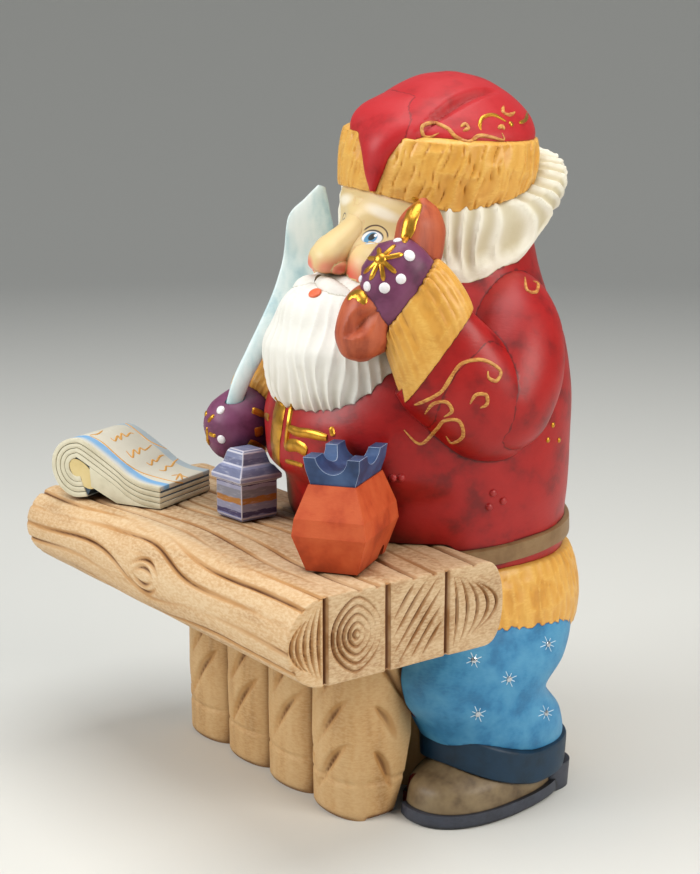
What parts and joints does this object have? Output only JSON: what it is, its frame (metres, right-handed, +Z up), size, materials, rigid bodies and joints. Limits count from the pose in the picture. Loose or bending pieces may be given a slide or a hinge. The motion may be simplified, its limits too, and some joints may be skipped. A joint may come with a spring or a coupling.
{
  "type": "carved santa figure",
  "caption": "Carved and painted wooden Santa telephoning at a rough log table, with a scroll, an ink box and a quill.",
  "frame": {"origin": "centre of the bounding box in plan, on the floor that the figure stands on", "axes": "+Z up, the figure faces -Y, its own left (the raised arm) is towards +X, the table runs along X"},
  "size_m": [0.166, 0.1436, 0.2299],
  "materials": {
    "figure_paint": "painted and varnished carved linden",
    "quill_paint": "painted carved linden",
    "table_wood": "stained and varnished carved linden",
    "pedestal_wood": "stained and varnished carved linden",
    "scroll_paint": "painted carved linden",
    "ink_box_paint": "painted carved linden",
    "telephone_paint": "painted carved linden"
  },
  "bodies": {
    "root": {"santa_figure": "figure_paint", "quill": "quill_paint", "table_top": "table_wood", "table_pedestal": "pedestal_wood", "list_scroll": "scroll_paint", "ink_box": "ink_box_paint", "telephone": "telephone_paint"}
  },
  "joints": []
}
